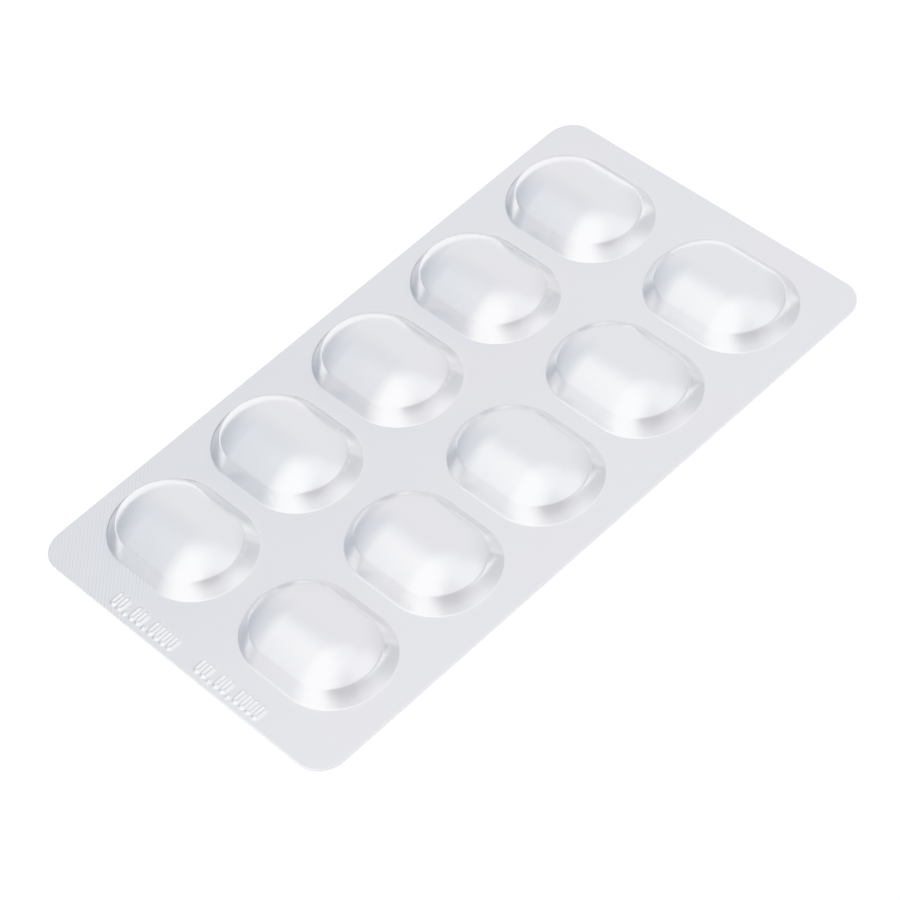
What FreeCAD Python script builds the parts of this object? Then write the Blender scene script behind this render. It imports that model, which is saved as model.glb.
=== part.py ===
"""Cold-formed foil blister pack: a thin sealed card with ten domed pockets, five rows of two.

The pack is sealed and opaque, so it is one closed solid. Its top face is the formed foil, with the
pockets standing up from it, and its underside is the flat lidding foil. Units are millimetres.
X runs along the card, Y across it and Z up. The origin is the middle of the card's underside.
"""
import FreeCAD, Part
import math
import os

# Card
CARD_LENGTH = 106.0
CARD_WIDTH = 60.0
CARD_CORNER_RADIUS = 4.2
CARD_THICKNESS = 0.2

# Pocket grid, which sits a little off the card's middle
ROWS_ALONG_CARD = 5
ROWS_ACROSS_CARD = 2
PITCH_ALONG_CARD = 19.65
PITCH_ACROSS_CARD = 28.4
GRID_SHIFT_ALONG = 1.1
GRID_SHIFT_ACROSS = 0.9

# Pocket: a round-ended slot with its long side across the card, leaning walls and a rounded crown
POCKET_LENGTH = 24.5
POCKET_WIDTH = 16.9
POCKET_HEIGHT = 4.3
WALL_ANGLE_DEG = 52.0
CROWN_RADIUS = 11.8
SHOULDER_RADIUS = 0.9

# Embossed codes: two groups of plain raised rings and dots along the card's low-X end
CODE_PATTERN = "00.00.0000"
CODE_GROUP_MIDDLES = (8.3, -9.6)
CODE_LINE_FROM_EDGE = 2.1
MARK_PITCH = 1.33
MARK_RELIEF = 0.12
RING_LENGTH = 2.3
RING_WIDTH = 1.06
RING_CORNER = 0.32
RING_STROKE = 0.3
DOT_SIDE = 0.36

ORIGIN = FreeCAD.Vector(0, 0, 0)
ALONG_Y = FreeCAD.Vector(0, 1, 0)
UP = FreeCAD.Vector(0, 0, 1)
MARK_TOP = CARD_THICKNESS + MARK_RELIEF
POCKET_TOP = CARD_THICKNESS + POCKET_HEIGHT
POCKET_STRAIGHT = POCKET_LENGTH - POCKET_WIDTH


def card():
    """The flat card with rounded corners."""
    start = FreeCAD.Vector(-CARD_LENGTH / 2, -CARD_WIDTH / 2, 0)
    block = Part.makeBox(CARD_LENGTH, CARD_WIDTH, CARD_THICKNESS, start)
    uprights = [e for e in block.Edges if abs(e.tangentAt(e.FirstParameter).z) > 0.5]
    return block.makeFillet(CARD_CORNER_RADIUS, uprights)


def face_across(points, y):
    """A flat face at the given Y through the given (x, z) corners."""
    corners = [FreeCAD.Vector(x, y, z) for x, z in points]
    return Part.Face(Part.makePolygon(corners + corners[:1]))


def leaning_walls():
    """A block as long and wide as the pocket, its walls upright through the card and leaning above."""
    foot = POCKET_WIDTH / 2
    top = foot - POCKET_HEIGHT / math.tan(math.radians(WALL_ANGLE_DEG))
    high_x_side = [(foot, 0), (foot, CARD_THICKNESS), (top, POCKET_TOP)]
    low_x_side = [(-x, z) for x, z in reversed(high_x_side)]
    half_straight = POCKET_STRAIGHT / 2
    middle = face_across(high_x_side + low_x_side, -half_straight).extrude(ALONG_Y * POCKET_STRAIGHT)
    half = face_across([(0, 0)] + high_x_side + [(0, POCKET_TOP)], half_straight)
    high_y_end = half.revolve(ALONG_Y * half_straight, UP, 180)
    low_y_end = high_y_end.mirror(ORIGIN, ALONG_Y)
    return middle.fuse([high_y_end, low_y_end]).removeSplitter()


def crown_bar():
    """The long round-ended bar, lying along Y, whose upper side is the pocket's crown."""
    start = FreeCAD.Vector(0, -POCKET_STRAIGHT / 2, POCKET_TOP - CROWN_RADIUS)
    bar = Part.makeCylinder(CROWN_RADIUS, POCKET_STRAIGHT, start, ALONG_Y)
    low_y_end = Part.makeSphere(CROWN_RADIUS, start, -ALONG_Y, 0, 90, 360)
    high_y_end = low_y_end.mirror(ORIGIN, ALONG_Y)
    return bar.fuse([low_y_end, high_y_end])


def is_shoulder(edge):
    """True for a level edge between the pocket's walls and its crown."""
    heights = [v.Z for v in edge.Vertexes]
    level = max(heights) - min(heights) < SHOULDER_RADIUS / 100
    return level and min(heights) > CARD_THICKNESS + SHOULDER_RADIUS


def pocket():
    """One pocket on its own plug of card, centred on the origin, with a rounded shoulder."""
    body = leaning_walls().common(crown_bar()).removeSplitter()
    return body.makeFillet(SHOULDER_RADIUS, [e for e in body.Edges if is_shoulder(e)])


def clipped_oblong(length, width, corner):
    """A flat oblong face with its corners cut off, its long side along X."""
    x, y = length / 2, width / 2
    quarter = [(x - corner, y), (x, y - corner)]
    half = quarter + [(px, -py) for px, py in reversed(quarter)]
    outline = half + [(-px, -py) for px, py in half]
    corners = [FreeCAD.Vector(px, py, 0) for px, py in outline]
    return Part.Face(Part.makePolygon(corners + corners[:1]))


def code_marks():
    """Every raised mark of both groups; each dot lies at its neighbours' end nearest the card's edge."""
    inset = 2 * RING_STROKE
    hole = clipped_oblong(RING_LENGTH - inset, RING_WIDTH - inset, RING_CORNER / 2)
    ring = clipped_oblong(RING_LENGTH, RING_WIDTH, RING_CORNER).cut(hole).extrude(UP * MARK_TOP)
    dot = clipped_oblong(DOT_SIDE, DOT_SIDE, DOT_SIDE / 4).extrude(UP * MARK_TOP)
    ring_x = CODE_LINE_FROM_EDGE - CARD_LENGTH / 2
    dot_x = ring_x - (RING_LENGTH - DOT_SIDE) / 2
    first = (len(CODE_PATTERN) - 1) / 2
    marks = []
    for middle in CODE_GROUP_MIDDLES:
        for index, sign in enumerate(CODE_PATTERN):
            y = middle + (first - index) * MARK_PITCH
            form, x = (dot, dot_x) if sign == "." else (ring, ring_x)
            marks.append(form.translated(FreeCAD.Vector(x, y, 0)))
    return marks


def pockets():
    """The pocket repeated over its grid."""
    dome = pocket()
    domes = []
    for across in range(ROWS_ACROSS_CARD):
        for along in range(ROWS_ALONG_CARD):
            x = GRID_SHIFT_ALONG + (along - (ROWS_ALONG_CARD - 1) / 2) * PITCH_ALONG_CARD
            y = GRID_SHIFT_ACROSS + (across - (ROWS_ACROSS_CARD - 1) / 2) * PITCH_ACROSS_CARD
            domes.append(dome.translated(FreeCAD.Vector(x, y, 0)))
    return domes


os.makedirs("parts", exist_ok=True)
pack = card().fuse(pockets() + code_marks()).removeSplitter()
pack.exportStep("parts/blister_pack.step")
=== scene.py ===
"""The foil blister pack dressed for its picture: one drawn-foil skin with its seal pattern and codes,
a white table, a studio surround and the camera. Built in millimetres from the card's underside and
scaled to metres; X runs along the card, Y across it and Z up."""
import math

import bpy
import numpy as np
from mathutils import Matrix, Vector
from mathutils.geometry import delaunay_2d_cdt


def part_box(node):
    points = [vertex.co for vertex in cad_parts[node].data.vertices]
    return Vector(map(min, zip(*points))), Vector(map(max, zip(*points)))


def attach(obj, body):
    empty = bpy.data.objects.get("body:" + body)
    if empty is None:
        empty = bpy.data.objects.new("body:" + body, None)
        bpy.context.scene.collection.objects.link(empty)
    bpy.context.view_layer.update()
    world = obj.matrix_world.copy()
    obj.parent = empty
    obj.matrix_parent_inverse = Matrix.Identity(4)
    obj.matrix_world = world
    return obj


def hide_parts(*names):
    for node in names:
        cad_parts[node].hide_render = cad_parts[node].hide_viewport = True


MM = 0.001

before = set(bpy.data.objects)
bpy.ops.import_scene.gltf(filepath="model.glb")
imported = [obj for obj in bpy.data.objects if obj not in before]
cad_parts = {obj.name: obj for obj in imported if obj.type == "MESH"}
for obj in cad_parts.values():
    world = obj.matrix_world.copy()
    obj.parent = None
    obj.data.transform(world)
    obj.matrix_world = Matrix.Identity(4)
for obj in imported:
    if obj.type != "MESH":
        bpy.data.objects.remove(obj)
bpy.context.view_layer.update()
pack_low, pack_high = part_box("blister_pack")

# The card; its length, its width and the pack's top are read from the frame
CARD_LENGTH = (pack_high.x - pack_low.x) / MM
CARD_WIDTH = (pack_high.y - pack_low.y) / MM
PACK_TOP = pack_high.z / MM
CARD_THICKNESS = 0.2
CARD_CORNER_RADIUS = 4.2
CARD_EDGE_ROUND = 0.05

# The pocket grid
ROWS_ALONG, ROWS_ACROSS = 5, 2
PITCH_ALONG, PITCH_ACROSS = 19.65, 28.4
GRID_SHIFT_ALONG, GRID_SHIFT_ACROSS = 1.1, 0.9

# The pocket's section; angles are tilts from the level, the rim's and the crown's at their outer ends
POCKET_LENGTH, POCKET_WIDTH = 24.5, 16.9
POCKET_HEIGHT = PACK_TOP - CARD_THICKNESS
WALL_ANGLE = math.radians(51)
RIM_ANGLE = math.radians(35)
CROWN_ANGLE = math.radians(10)
CROWN_RADIUS = 12.0
LOW_END_HOLLOW = 0.15
FOOT_ANGLE = math.radians(49)
FOOT_RADIUS = 0.3
# The share of the wall's run where the crisp edge begins, and the turn where the rim takes over
EDGE_START, EDGE_TURN = 0.985, 0.012
PUCKER = 0.006
DENT = 0.03
# How far inside the foot each loop of the underside's recess lies, and how high over the table
UNDERSIDE_RECESS = ((0.3, 0.02), (0.8, 0.05), (1.5, 0.06))
HALF_SPINE = (POCKET_LENGTH - POCKET_WIDTH) / 2
FOOT_REACH = POCKET_WIDTH / 2 + FOOT_RADIUS * math.tan(FOOT_ANGLE / 2)

# The embossed codes
CODE_PATTERN = "00.00.0000"
CODE_GROUP_MIDDLES = (8.3, -9.6)
CODE_LINE_X = 2.1 - CARD_LENGTH / 2
MARK_PITCH = 1.33
MARK_RELIEF = 0.25
RING_LENGTH, RING_WIDTH, RING_STROKE = 2.3, 1.08, 0.36
DOT_RADIUS = 0.24
MARK_BLEND = 0.06
CODE_MARGIN_ALONG, CODE_MARGIN_ACROSS = 0.25, 0.2

# The faint bow that the sealed card takes across its width, seen only in how it mirrors the room
CARD_BOW = 0.0016

# The seal pattern
HATCH_PITCH = 0.52
HATCH_DEPTH = 0.012

# The foil's grain, its two tints and its range of roughness
GRAIN_DEPTH, DIMPLE_DEPTH = 0.0006, 0.010
FOIL_TINTS = ((0.882, 0.878, 0.888, 1), (0.873, 0.882, 0.887, 1))
FOIL_ROUGHNESS = (0.17, 0.23)

# How finely the skin is divided, and what its flange keeps clear of
RING_STEPS_END = 56
RING_STEPS_SIDE = 14
FOOT_STEPS, WALL_STEPS, RIM_STEPS, CROWN_STEPS = 6, 13, 14, 9
CORNER_STEPS = 14
FLANGE_STEP = 1.3
FLANGE_SWAY = 0.21
CODE_STEP = 0.13
RIM_SUPPORT = 0.1
FOOT_TOLERANCE, FOOT_CLEARANCE = 0.02, 0.45
CORNER_CLEARANCE = 0.5
CODE_CLEARANCE = 0.3

# The table, and the part of its white that the eye sees beyond what the room's light gives it
TABLE_SIZE = 4
TABLE_DROP = 0.00002
TABLE_LIFT = 0.21
TABLE_TINTS = ((0.87, 0.87, 0.87, 1), (0.89, 0.89, 0.89, 1))

# The camera, in metres and degrees
CAMERA_LENS, CAMERA_SENSOR = 132.518, 36
CAMERA_PLACE = (-0.166053, -0.259194, 0.346038)
CAMERA_TURN = (40.2763, 9.7867, -43.7075)


def pocket_places():
    """The middle of each pocket on the card."""
    return [
        (
            GRID_SHIFT_ALONG + (along - (ROWS_ALONG - 1) / 2) * PITCH_ALONG,
            GRID_SHIFT_ACROSS + (across - (ROWS_ACROSS - 1) / 2) * PITCH_ACROSS,
        )
        for across in range(ROWS_ACROSS)
        for along in range(ROWS_ALONG)
    ]


PLACES = pocket_places()


def pocket_section():
    """Rows of reach from the spine, height over the card and share of the low-Y end's hollow.

    They run from the foot fillet's outer edge up to the crown: a leaning wall, a crisp edge, a
    rounded rim and a flatter crown.
    """
    sin_span = math.sin(RIM_ANGLE) - math.sin(CROWN_ANGLE)
    cos_span = math.cos(CROWN_ANGLE) - math.cos(RIM_ANGLE)
    crown_reach = CROWN_RADIUS * math.sin(CROWN_ANGLE)
    crown_drop = CROWN_RADIUS * (1 - math.cos(CROWN_ANGLE))
    wall_run = 1 / math.tan(WALL_ANGLE)
    rim_slope = cos_span / sin_span
    rim_rise = POCKET_HEIGHT - crown_drop - (POCKET_WIDTH / 2 - crown_reach) * rim_slope
    edge_height = rim_rise / (1 - wall_run * rim_slope)
    edge_reach = POCKET_WIDTH / 2 - edge_height * wall_run
    rim_radius = (edge_reach - crown_reach) / sin_span
    points = []
    for tilt in np.linspace(0, FOOT_ANGLE, FOOT_STEPS):
        reach = FOOT_REACH - FOOT_RADIUS * math.sin(tilt)
        points.append((reach, FOOT_RADIUS * (1 - math.cos(tilt)), 0))
    wall_foot = points[-1]
    for t in np.linspace(0, EDGE_START, WALL_STEPS)[1:]:
        reach = wall_foot[0] + (edge_reach - wall_foot[0]) * t
        points.append((reach, wall_foot[1] + (edge_height - wall_foot[1]) * t, 4 * t * (1 - t)))
    for tilt in np.linspace(RIM_ANGLE - EDGE_TURN, CROWN_ANGLE, RIM_STEPS):
        reach = crown_reach + rim_radius * (math.sin(tilt) - math.sin(CROWN_ANGLE))
        drop = crown_drop + rim_radius * (math.cos(CROWN_ANGLE) - math.cos(tilt))
        points.append((reach, POCKET_HEIGHT - drop, 0))
    for tilt in np.linspace(CROWN_ANGLE, 0, CROWN_STEPS)[1:-1]:
        drop = CROWN_RADIUS * (1 - math.cos(tilt))
        points.append((CROWN_RADIUS * math.sin(tilt), POCKET_HEIGHT - drop, 0))
    return points


def pucker(count, turn):
    """The drawn foil's small folds around one pocket, as offsets along a loop of points."""
    around = np.arange(count) * 2 * math.pi / count
    folds = np.sin(31 * around + 2.3 * turn) + 0.7 * np.sin(19 * around + 4.1 * turn + 1)
    return folds * (0.6 + 0.4 * np.sin(5 * around + 1.3 * turn))


def dent(x, y, turn):
    """The crown's faint unevenness, always at or under its true form."""
    wave = np.sin(x / 1.9 + 2.1 * turn) * np.sin(y / 2.7 + 1.7 * turn + 0.9 * np.sin(x / 3.1 + turn))
    return -0.5 * DENT * (1 + wave)


def stadium(reach):
    """Points of a round-ended loop at the given reach from the pocket's spine, counter-clockwise."""
    high_end = [
        (reach * math.cos(a), HALF_SPINE + reach * math.sin(a))
        for a in np.linspace(0, math.pi, RING_STEPS_END + 1)
    ]
    low_end = [(-x, -y) for x, y in high_end]
    sides = np.linspace(1, -1, RING_STEPS_SIDE + 1)[1:-1] * HALF_SPINE
    left = [(-reach, y) for y in sides]
    right = [(reach, -y) for y in sides]
    return high_end + left + low_end + right


def card_outline(inset=0.0):
    """The card's rounded outline, counter-clockwise."""
    radius = CARD_CORNER_RADIUS - inset
    x, y = CARD_LENGTH / 2 - CARD_CORNER_RADIUS, CARD_WIDTH / 2 - CARD_CORNER_RADIUS
    corners = [(x, y, 0), (-x, y, 90), (-x, -y, 180), (x, -y, 270)]
    loop = [
        (cx + radius * math.cos(math.radians(a)), cy + radius * math.sin(math.radians(a)))
        for cx, cy, start in corners
        for a in np.linspace(start, start + 90, CORNER_STEPS + 1)
    ]
    points = []
    for (ax, ay), (bx, by) in zip(loop, loop[1:] + loop[:1]):
        count = max(1, round(math.hypot(bx - ax, by - ay) / (2 * FLANGE_STEP)))
        points += [(ax + (bx - ax) * k / count, ay + (by - ay) * k / count) for k in range(count)]
    return points


def spine_distance(x, y):
    """Distance from each point to the nearest pocket's spine."""
    near = np.full(np.shape(x), np.inf)
    for px, py in PLACES:
        dy = np.maximum(np.abs(y - py) - HALF_SPINE, 0)
        near = np.minimum(near, np.hypot(x - px, dy))
    return near


def smooth(low, high, value):
    """0 below low, 1 above high and an easy curve between."""
    t = np.clip((value - low) / (high - low), 0, 1)
    return t * t * (3 - 2 * t)


def code_relief(x, y):
    """Height of the embossed rings and dots over the card."""
    relief = np.zeros(np.shape(x))
    first = (len(CODE_PATTERN) - 1) / 2
    half_line = (RING_LENGTH - RING_WIDTH) / 2
    for middle in CODE_GROUP_MIDDLES:
        for index, sign in enumerate(CODE_PATTERN):
            dy = y - (middle + (first - index) * MARK_PITCH)
            dx = x - CODE_LINE_X
            if sign == ".":
                off = np.hypot(dx + RING_LENGTH / 2 - DOT_RADIUS, dy) - DOT_RADIUS / 2
                width = DOT_RADIUS
            else:
                ring = np.hypot(np.maximum(np.abs(dx) - half_line, 0), dy)
                off = np.abs(ring - (RING_WIDTH - RING_STROKE) / 2)
                width = RING_STROKE / 2 + MARK_BLEND
            relief = np.maximum(relief, MARK_RELIEF * (1 - smooth(0.0, 1.6 * width, off)))
    return relief


def card_wave(x, y):
    """The faint unevenness of the sealed foil, in height over a dead flat card."""
    edge = smooth(0, 3, CARD_LENGTH / 2 - np.abs(x)) * smooth(0, 3, CARD_WIDTH / 2 - np.abs(y))
    wave = np.sin(x / 9.1 + 0.8 * np.sin(y / 13.0)) * np.cos(y / 7.3 + 0.6 * np.sin(x / 17.0 + 1.0))
    fine = np.sin(x / 3.1 + y / 4.7) * np.sin(y / 2.9 - x / 6.3 + 0.7)
    return edge * (0.02 * wave + 0.004 * fine) - 0.02 * edge


class Skin:
    """Collects vertices and faces in millimetres."""

    def __init__(self):
        self.points, self.faces = [], []

    def add(self, rows):
        """Takes in rows of x, y and z and gives back their numbers."""
        start = len(self.points)
        self.points += [tuple(r) for r in rows]
        return list(range(start, len(self.points)))

    def band(self, outer, inner):
        """Faces between two loops of equal length, facing up when outer is outside."""
        count = len(outer)
        for k in range(count):
            n = (k + 1) % count
            self.faces.append((outer[k], outer[n], inner[n], inner[k]))

    def ladder(self, loop, upward=True):
        """Fills a round-ended loop by rungs between its two long sides."""
        half = len(loop) // 2
        middle = RING_STEPS_END // 2
        turned = loop[middle:] + loop[:middle]
        for k in range(half):
            a, b = turned[k], turned[k + 1]
            c, d = turned[-k - 1] if k else turned[-1], turned[-k] if k else turned[0]
            face = (a, b, c, d) if k else (a, b, c)
            if k == half - 1:
                face = tuple(dict.fromkeys(face))
            self.faces.append(face if upward else tuple(reversed(face)))


def flange_points():
    """Inner points of the flange: an even spread, and a close one along the codes."""
    xs = np.arange(-CARD_LENGTH / 2 + FLANGE_STEP, CARD_LENGTH / 2 - FLANGE_STEP / 2, FLANGE_STEP)
    ys = np.arange(-CARD_WIDTH / 2 + FLANGE_STEP, CARD_WIDTH / 2 - FLANGE_STEP / 2, FLANGE_STEP)
    gx, gy = (g.ravel() for g in np.meshgrid(xs, ys))
    gx = gx + FLANGE_SWAY * np.sin(gy * 2.3)
    gy = gy + FLANGE_SWAY * np.sin(gx * 1.9)
    group_half = len(CODE_PATTERN) / 2 * MARK_PITCH + CODE_MARGIN_ACROSS
    code_half = RING_LENGTH / 2 + CODE_MARGIN_ALONG
    code_x, code_y = [], []
    far = np.ones(gx.shape, bool)
    for middle in CODE_GROUP_MIDDLES:
        cx = np.arange(CODE_LINE_X - code_half, CODE_LINE_X + code_half + CODE_STEP / 2, CODE_STEP)
        cy = np.arange(middle - group_half, middle + group_half, CODE_STEP)
        px, py = (g.ravel() for g in np.meshgrid(cx, cy))
        code_x.append(px)
        code_y.append(py)
        by_line = np.abs(gx - CODE_LINE_X) < code_half + CODE_CLEARANCE
        far &= ~(by_line & (np.abs(gy - middle) < group_half + CODE_CLEARANCE))
    gx = np.concatenate([gx[far]] + code_x)
    gy = np.concatenate([gy[far]] + code_y)
    corner_x = np.abs(gx) - (CARD_LENGTH / 2 - CARD_CORNER_RADIUS)
    corner_y = np.abs(gy) - (CARD_WIDTH / 2 - CARD_CORNER_RADIUS)
    corner_reach = np.hypot(np.maximum(corner_x, 0), np.maximum(corner_y, 0))
    cut = corner_reach > CARD_CORNER_RADIUS - CORNER_CLEARANCE
    keep = (spine_distance(gx, gy) > FOOT_REACH + FOOT_CLEARANCE) & ~cut
    return list(zip(gx[keep], gy[keep]))


def build_skin():
    """The whole closed foil skin: flange, pockets, cut edge and underside."""
    skin = Skin()
    section = pocket_section()
    rim = card_outline(CARD_EDGE_ROUND)
    inner_rim = card_outline(CARD_EDGE_ROUND + RIM_SUPPORT)
    feet = [[(px + x, py + y) for x, y in stadium(section[0][0])] for px, py in PLACES]
    flat = rim + inner_rim + [p for loop in feet for p in loop] + flange_points()
    edges, start = [], 0
    for loop in [rim, inner_rim] + feet:
        edges += [(start + k, start + (k + 1) % len(loop)) for k in range(len(loop))]
        start += len(loop)
    cdt = delaunay_2d_cdt([Vector(p) for p in flat], edges, [], 0, 1e-6)
    plan = np.array([tuple(v) for v in cdt[0]])
    triangles = np.array(cdt[2])
    middles = plan[triangles].mean(1)
    outside = spine_distance(middles[:, 0], middles[:, 1]) > section[0][0] - FOOT_TOLERANCE
    place_of = {}
    for new, olds in enumerate(cdt[3]):
        for old in olds:
            place_of[old] = new
    x, y = plan[:, 0], plan[:, 1]
    top = CARD_THICKNESS + card_wave(x, y) + code_relief(x, y)
    upper = skin.add(np.column_stack([x, y, top]))
    lower = skin.add(np.column_stack([x, y, np.zeros(len(x))]))
    for a, b, c in triangles[outside]:
        skin.faces.append((upper[a], upper[b], upper[c]))
        skin.faces.append((lower[c], lower[b], lower[a]))

    start = len(rim) + len(inner_rim)
    for turn, ((px, py), foot) in enumerate(zip(PLACES, feet)):
        keys = [place_of[start + k] for k in range(len(foot))]
        start += len(foot)
        loop = [upper[k] for k in keys]
        folds = pucker(len(foot), turn)
        for reach, height, hollow in section[1:]:
            round_the_spine = np.array(stadium(reach))
            outward = np.array(stadium(reach + 1)) - round_the_spine
            up = height / POCKET_HEIGHT
            fold = PUCKER * smooth(0, 0.4, up) * (1 - smooth(0.5, 0.95, up)) * folds
            fold = fold - LOW_END_HOLLOW * hollow * np.clip(-outward[:, 1], 0, 1)
            ring = round_the_spine + outward * fold[:, None] + (px, py)
            uneven = smooth(0.5, 0.9, up) * dent(round_the_spine[:, 0], round_the_spine[:, 1], turn)
            z = CARD_THICKNESS + height + card_wave(ring[:, 0], ring[:, 1]) * (1 - up) + uneven
            inner = skin.add(np.column_stack([ring, z]))
            skin.band(loop, inner)
            loop = inner
        skin.ladder(loop)
        loop = [lower[k] for k in keys]
        for inset, height in UNDERSIDE_RECESS:
            ring = np.array(stadium(section[0][0] - inset)) + (px, py)
            inner = skin.add(np.column_stack([ring, np.full(len(ring), height)]))
            skin.band(inner, loop)
            loop = inner
        skin.ladder(loop, upward=False)

    rim_keys = [place_of[k] for k in range(len(rim))]
    loop = [lower[k] for k in rim_keys]
    outer = np.array(card_outline())
    for z in (CARD_EDGE_ROUND, CARD_THICKNESS - CARD_EDGE_ROUND):
        ring = skin.add(np.column_stack([outer, np.full(len(outer), z)]))
        skin.band(loop, ring)
        loop = ring
    skin.band(loop, [upper[k] for k in rim_keys])
    return skin


def mesh_object(name, skin):
    """A Blender object in metres from a skin in millimetres, smooth shaded."""
    mesh = bpy.data.meshes.new(name)
    mesh.from_pydata([(x * MM, y * MM, z * MM) for x, y, z in skin.points], [], skin.faces)
    mesh.validate()
    mesh.polygons.foreach_set("use_smooth", [True] * len(mesh.polygons))
    obj = bpy.data.objects.new(name, mesh)
    bpy.context.scene.collection.objects.link(obj)
    return obj


# The pack and its foil
pack = mesh_object("foil_pack", build_skin())
foil = bpy.data.materials.new("satin_foil")
foil.use_nodes = True
nodes, links = foil.node_tree.nodes, foil.node_tree.links
shader = nodes["Principled BSDF"]
shader.inputs["Metallic"].default_value = 1.0


def math_node(operation, *values):
    """A math node over sockets or numbers."""
    node = nodes.new("ShaderNodeMath")
    node.operation = operation
    for socket, value in zip(node.inputs, values):
        if isinstance(value, (int, float)):
            socket.default_value = value
        else:
            links.new(value, socket)
    return node.outputs[0]


def ramp_node(value, low, high, start=0.0, end=1.0):
    """A soft ramp from start to end while value runs from low to high."""
    node = nodes.new("ShaderNodeMapRange")
    node.interpolation_type = "SMOOTHSTEP"
    for name, number in zip(("From Min", "From Max", "To Min", "To Max"), (low, high, start, end)):
        node.inputs[name].default_value = number
    links.new(value, node.inputs["Value"])
    return node.outputs["Result"]


def noise_node(scale, detail):
    """Noise over the pack's own millimetres."""
    node = nodes.new("ShaderNodeTexNoise")
    node.inputs["Scale"].default_value = scale
    node.inputs["Detail"].default_value = detail
    links.new(millimetres, node.inputs["Vector"])
    return node.outputs["Fac"]


where = nodes.new("ShaderNodeTexCoord")
scaled = nodes.new("ShaderNodeVectorMath")
scaled.operation = "SCALE"
scaled.inputs["Scale"].default_value = 1 / MM
links.new(where.outputs["Object"], scaled.inputs[0])
millimetres = scaled.outputs["Vector"]
apart = nodes.new("ShaderNodeSeparateXYZ")
links.new(millimetres, apart.inputs[0])
px, py, pz = apart.outputs

# The seal's slanting lines, pressed deepest at one corner
slant = math_node("MULTIPLY", math_node("SUBTRACT", px, py), 2 * math.pi * math.sqrt(0.5) / HATCH_PITCH)
waver = math_node("MULTIPLY", noise_node(0.25, 2), 2.5)
lines = math_node("SINE", math_node("ADD", slant, waver))
on_card = ramp_node(pz, 0.3, 0.6, 1.0, 0.0)
by_corner = math_node("MULTIPLY", ramp_node(px, -52.0, -12.0, 1.0, 0.0), ramp_node(py, -6.0, 22.0))
by_edge = math_node("MULTIPLY", ramp_node(py, 24.0, 29.0), 0.45)
patchy = ramp_node(noise_node(0.12, 2), 0.3, 0.7, 0.5, 1.0)
deep = math_node("MAXIMUM", math_node("MAXIMUM", by_corner, by_edge), 0.10)
deep = math_node("MULTIPLY", math_node("MULTIPLY", deep, patchy), on_card)
hatch = math_node("MULTIPLY", math_node("MULTIPLY", lines, deep), HATCH_DEPTH)

# Rolling grain along the card and small dimples
grain_place = nodes.new("ShaderNodeMapping")
grain_place.inputs["Scale"].default_value = (0.5, 7.0, 1.0)
links.new(millimetres, grain_place.inputs["Vector"])
streak = nodes.new("ShaderNodeTexNoise")
streak.inputs["Scale"].default_value = 1.0
streak.inputs["Detail"].default_value = 3
links.new(grain_place.outputs["Vector"], streak.inputs["Vector"])
rolled = math_node("MULTIPLY", streak.outputs["Fac"], GRAIN_DEPTH)
dimples = math_node("MULTIPLY", noise_node(0.9, 3), DIMPLE_DEPTH)
bow = math_node("MULTIPLY", math_node("MULTIPLY", py, py), -CARD_BOW)
height = math_node("ADD", math_node("ADD", hatch, rolled), math_node("ADD", dimples, bow))
bump = nodes.new("ShaderNodeBump")
bump.inputs["Distance"].default_value = MM
links.new(height, bump.inputs["Height"])
links.new(bump.outputs["Normal"], shader.inputs["Normal"])

tint = nodes.new("ShaderNodeMix")
tint.data_type = "RGBA"
tint.inputs["A"].default_value, tint.inputs["B"].default_value = FOIL_TINTS
links.new(ramp_node(noise_node(0.035, 2), 0.35, 0.65), tint.inputs["Factor"])
links.new(tint.outputs["Result"], shader.inputs["Base Color"])
links.new(ramp_node(noise_node(0.35, 4), 0.3, 0.7, *FOIL_ROUGHNESS), shader.inputs["Roughness"])
pack.data.materials.append(foil)
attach(pack, "root")
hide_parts("blister_pack")

# The table
bpy.ops.mesh.primitive_plane_add(size=TABLE_SIZE, location=(0, 0, -TABLE_DROP))
table = bpy.context.object
table.name = "table"
white = bpy.data.materials.new("white_table")
white.use_nodes = True
nodes, links = white.node_tree.nodes, white.node_tree.links
body = nodes["Principled BSDF"]
body.inputs["Roughness"].default_value = 0.85
grain = nodes.new("ShaderNodeTexNoise")
grain.inputs["Scale"].default_value = 900
paper = nodes.new("ShaderNodeMix")
paper.data_type = "RGBA"
paper.inputs["A"].default_value, paper.inputs["B"].default_value = TABLE_TINTS
links.new(grain.outputs["Fac"], paper.inputs["Factor"])
links.new(paper.outputs["Result"], body.inputs["Base Color"])
path = nodes.new("ShaderNodeLightPath")
seen = path.outputs["Is Camera Ray"]
for name in ("Is Glossy Ray", "Is Transmission Ray"):
    either = nodes.new("ShaderNodeMath")
    either.operation = "MAXIMUM"
    links.new(seen, either.inputs[0])
    links.new(path.outputs[name], either.inputs[1])
    seen = either.outputs[0]
lift = nodes.new("ShaderNodeMath")
lift.operation = "MULTIPLY"
lift.inputs[1].default_value = TABLE_LIFT
links.new(seen, lift.inputs[0])
body.inputs["Emission Color"].default_value = (1, 1, 1, 1)
links.new(lift.outputs[0], body.inputs["Emission Strength"])
table.data.materials.append(white)

# The studio surround
world = bpy.data.worlds.new("studio")
bpy.context.scene.world = world
world.use_nodes = True
nodes, links = world.node_tree.nodes, world.node_tree.links
nodes.clear()
coords = nodes.new("ShaderNodeTexCoord")


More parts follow.
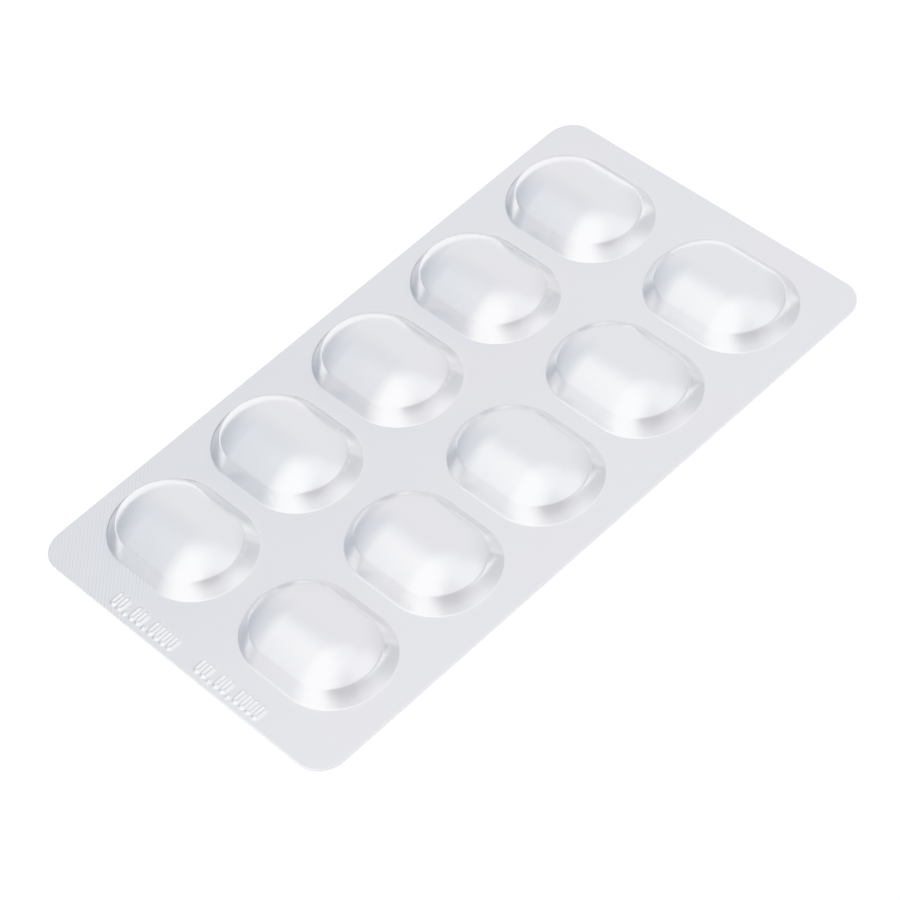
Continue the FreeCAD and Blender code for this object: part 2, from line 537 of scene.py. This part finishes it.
def facing(direction, low, high):
    """A soft 0 to 1 ramp over how far the looked-at point of the surround lies towards a direction."""
    dot = nodes.new("ShaderNodeVectorMath")
    dot.operation = "DOT_PRODUCT"
    dot.inputs[1].default_value = Vector(direction).normalized()
    links.new(coords.outputs["Generated"], dot.inputs[0])
    ramp = nodes.new("ShaderNodeMapRange")
    ramp.interpolation_type = "SMOOTHSTEP"
    ramp.inputs["From Min"].default_value = low
    ramp.inputs["From Max"].default_value = high
    links.new(dot.outputs["Value"], ramp.inputs["Value"])
    return ramp.outputs["Result"]


def product(a, b):
    """Two ramps multiplied."""
    node = nodes.new("ShaderNodeMath")
    node.operation = "MULTIPLY"
    links.new(a, node.inputs[0])
    links.new(b, node.inputs[1])
    return node.outputs[0]


def blend(factor, low, high):
    """From the low colour to the high one as the factor goes from 0 to 1."""
    node = nodes.new("ShaderNodeMix")
    node.data_type = "RGBA"
    links.new(factor, node.inputs["Factor"])
    for socket, value in ((node.inputs["A"], low), (node.inputs["B"], high)):
        if isinstance(value, tuple):
            socket.default_value = (*value, 1)
        else:
            links.new(value, socket)
    return node.outputs["Result"]


# Soft lamps, the dark end of the room and whoever stands behind the camera, then the large softbox.
# Each is laid over those before it.
overhead = facing((0.104, -0.068, 0.992), 0.893, 0.983)
right_lamp = facing((0.361, -0.576, 0.733), 0.854, 0.984)
dusk_high = facing((-0.211, 0.749, 0.628), 0.72, 1.056)
dusk_low = facing((-0.255, 0.896, -0.364), 0.529, 1.077)
right_floor = facing((0.897, -0.41, -0.167), 0.469, 1.657)
figure = facing((-0.454, -0.888, -0.073), 0.742, 0.966)
behind_figure = facing((0.106, -0.983, 0.151), 0.946, 1.03)
box_left = facing((-0.987, -0.045, 0.156), -0.297, 0.25)
box_back = facing((0.014, -0.919, 0.394), -0.565, 0.108)
box_front = facing((-0.674, 0.531, 0.514), 0.235, 0.656)
softbox = product(product(box_left, box_back), box_front)
surround = (0.885, 0.885, 0.915)
for lobe, colour in (
    (overhead, (0.985, 0.995, 1.02)),
    (right_lamp, (0.998, 0.996, 1.02)),
    (dusk_high, (0.73, 0.76, 0.815)),
    (dusk_low, (0.435, 0.475, 0.54)),
    (right_floor, (0.36, 0.4, 0.43)),
    (figure, (0.64, 0.63, 0.66)),
    (behind_figure, (0.74, 0.73, 0.745)),
    (softbox, (1.103, 1.103, 1.11)),
):
    surround = blend(lobe, surround, colour)
lit = nodes.new("ShaderNodeBackground")
links.new(surround, lit.inputs["Color"])
out = nodes.new("ShaderNodeOutputWorld")
links.new(lit.outputs[0], out.inputs["Surface"])

# The camera
camera_data = bpy.data.cameras.new("camera")
camera_data.lens = CAMERA_LENS
camera_data.sensor_width = CAMERA_SENSOR
camera = bpy.data.objects.new("camera", camera_data)
bpy.context.scene.collection.objects.link(camera)
camera.location = CAMERA_PLACE
camera.rotation_euler = [math.radians(a) for a in CAMERA_TURN]
bpy.context.scene.camera = camera

bpy.context.scene.view_settings.view_transform = "Standard"
